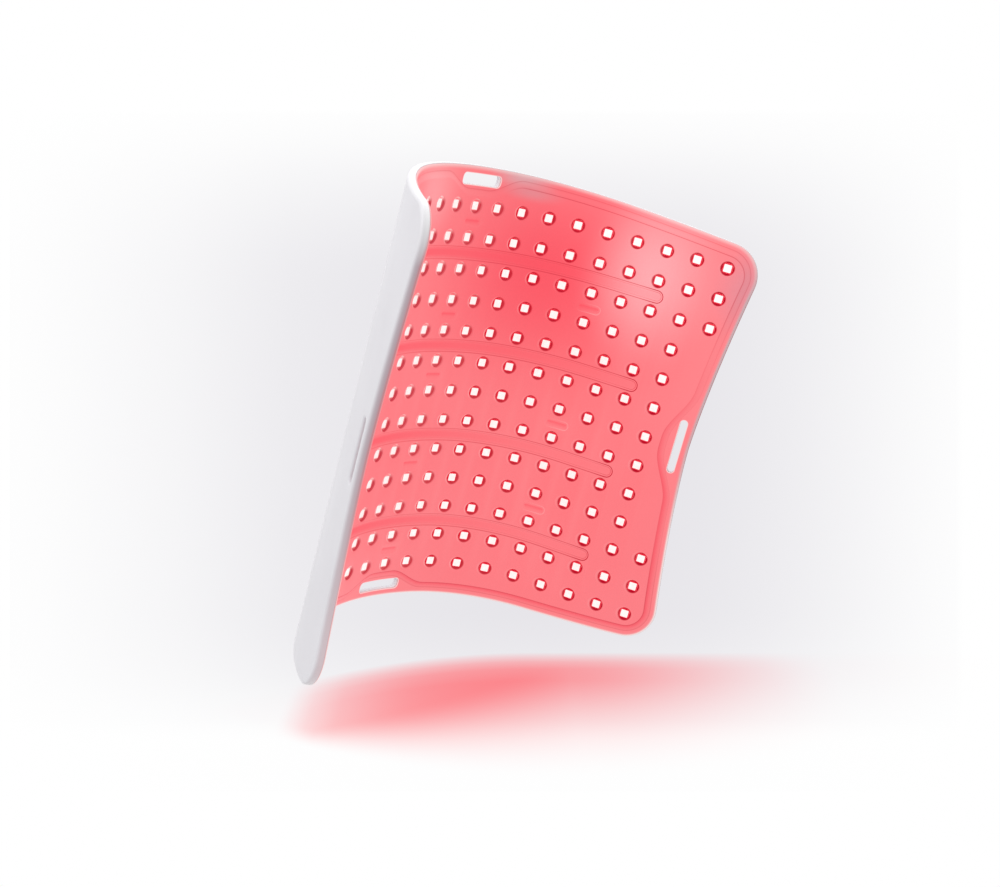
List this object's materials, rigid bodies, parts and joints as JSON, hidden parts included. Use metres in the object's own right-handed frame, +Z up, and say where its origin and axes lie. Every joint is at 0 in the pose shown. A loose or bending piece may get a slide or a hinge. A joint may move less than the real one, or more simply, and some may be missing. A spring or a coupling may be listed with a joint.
{
  "type": "led light therapy panel",
  "caption": "Flexible silicone panel bent round a limb: a raised, grooved field of wells over LED circuits, strap slots in its edges and a button-operated control pod on the back.",
  "frame": {"origin": "under the middle of the bounding box, on the surface the panel stands on", "axes": "+Z up along the panel's height, -Y the concave side with the LEDs, X along the chord between the two free edges, pod at +X"},
  "size_m": [0.236, 0.1182, 0.2312],
  "materials": {
    "lit_silicone": "translucent silicone, satin, lit from inside",
    "white_silicone": "satin",
    "led_circuit": "satin white solder mask with lit LEDs",
    "polyimide": "smooth amber film",
    "white_plastic": "satin",
    "foil_pouch": "satin",
    "green_solder_mask": "satin",
    "grey_plastic": "satin",
    "clear_plastic": "clear",
    "plated_steel": "satin nickel",
    "black_plastic": "satin"
  },
  "bodies": {
    "panel": {"front_skin": "lit_silicone", "back_cover": "white_silicone", "led_band_1": "led_circuit", "led_band_2": "led_circuit", "led_band_3": "led_circuit", "led_band_4": "led_circuit", "led_band_5": "led_circuit", "bus_circuit": "polyimide", "pod_base": "white_plastic", "pod_cover": "white_plastic", "battery_cell": "foil_pouch", "driver_board": "green_solder_mask", "indicator_lens": "clear_plastic", "socket_shell": "plated_steel", "socket_tongue": "black_plastic", "pod_screw_1": "plated_steel", "pod_screw_2": "plated_steel", "pod_screw_3": "plated_steel", "pod_screw_4": "plated_steel"},
    "button": {"power_button": "grey_plastic"}
  },
  "joints": [
    {"name": "power_button_press", "type": "slide", "parent": "panel", "child": "button", "axis": [-0.8791, -0.4751, -0.0386], "range_m": [0, 0.0006], "stiffness_N_per_m": 800, "springref_m": -0.0008}
  ]
}
